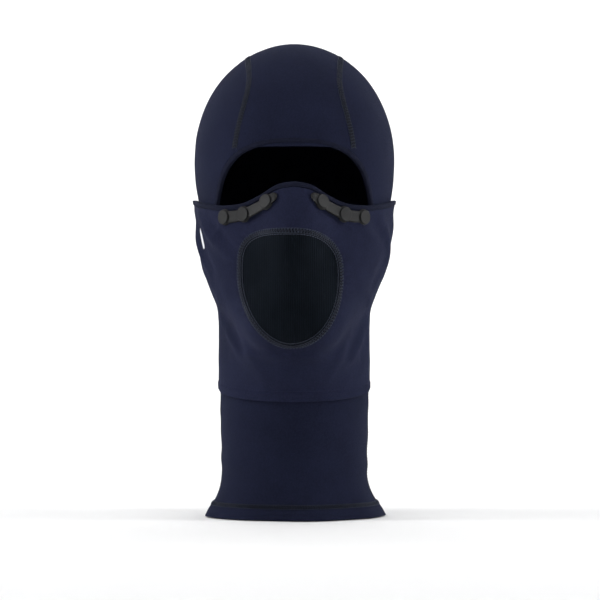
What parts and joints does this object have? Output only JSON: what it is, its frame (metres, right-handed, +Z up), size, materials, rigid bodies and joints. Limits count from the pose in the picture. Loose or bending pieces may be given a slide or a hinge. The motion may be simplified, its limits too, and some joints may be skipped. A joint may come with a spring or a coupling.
{
  "type": "balaclava",
  "caption": "Hinged ski balaclava in its worn shape: hood and neck tube with an overlapping face mask that pulls down, ribbed mouth panel and magnet strips for goggles.",
  "frame": {"origin": "midway between the ears, in the middle of the head that the balaclava is worn on", "axes": "+Z up along the head and neck, -Y where the face looks, +X towards the wearer's left ear"},
  "size_m": [0.1572, 0.2196, 0.365],
  "materials": {
    "hood_jersey": "matt stretch jersey, navy",
    "mask_fleece": "matt stretch fleece, navy, fine knit face",
    "mouth_rib": "matt fine vertical rib knit, near-black",
    "thread": "polyester cover-stitch thread, slight sheen",
    "binding": "folded elastic binding",
    "soft_plastic": "soft moulded strip, satin black",
    "magnet_metal": "nickel-plated magnet",
    "reflective_print": "pale reflective transfer print",
    "label_satin": "white satin label, blank"
  },
  "bodies": {
    "hood": {"crown_panel": "hood_jersey", "hood_side_left": "hood_jersey", "hood_side_right": "hood_jersey", "neck_front": "hood_jersey", "neck_back": "hood_jersey", "neck_hem": "hood_jersey", "face_binding": "binding", "crown_seam_thread_left": "thread", "crown_seam_thread_right": "thread", "neck_seam_thread": "thread", "neck_side_thread_left": "thread", "neck_side_thread_right": "thread", "mask_side_thread_left": "thread", "mask_side_thread_right": "thread", "hem_thread": "thread"},
    "mask": {"mask_shell": "mask_fleece", "mouth_panel": "mouth_rib", "mouth_cover_thread": "thread", "mouth_needle_thread": "thread", "mask_top_binding": "binding", "mask_hem": "mask_fleece", "cheek_mark": "reflective_print", "magnet_strip_left": "soft_plastic", "magnet_strip_right": "soft_plastic", "magnet_left_1": "magnet_metal", "magnet_left_2": "magnet_metal", "magnet_left_3": "magnet_metal", "magnet_right_1": "magnet_metal", "magnet_right_2": "magnet_metal", "magnet_right_3": "magnet_metal"},
    "label": {"care_label": "label_satin"}
  },
  "joints": [
    {"name": "mask_pull_down", "type": "slide", "parent": "hood", "child": "mask", "axis": [0, -0.1701, -0.9854], "range_m": [0, 0.085]},
    {"name": "label_flap", "type": "hinge", "parent": "hood", "child": "label", "pos_m": [0, 0.07427, -0.112], "axis": [-1, 0, 0], "range_deg": [0, 70]}
  ]
}
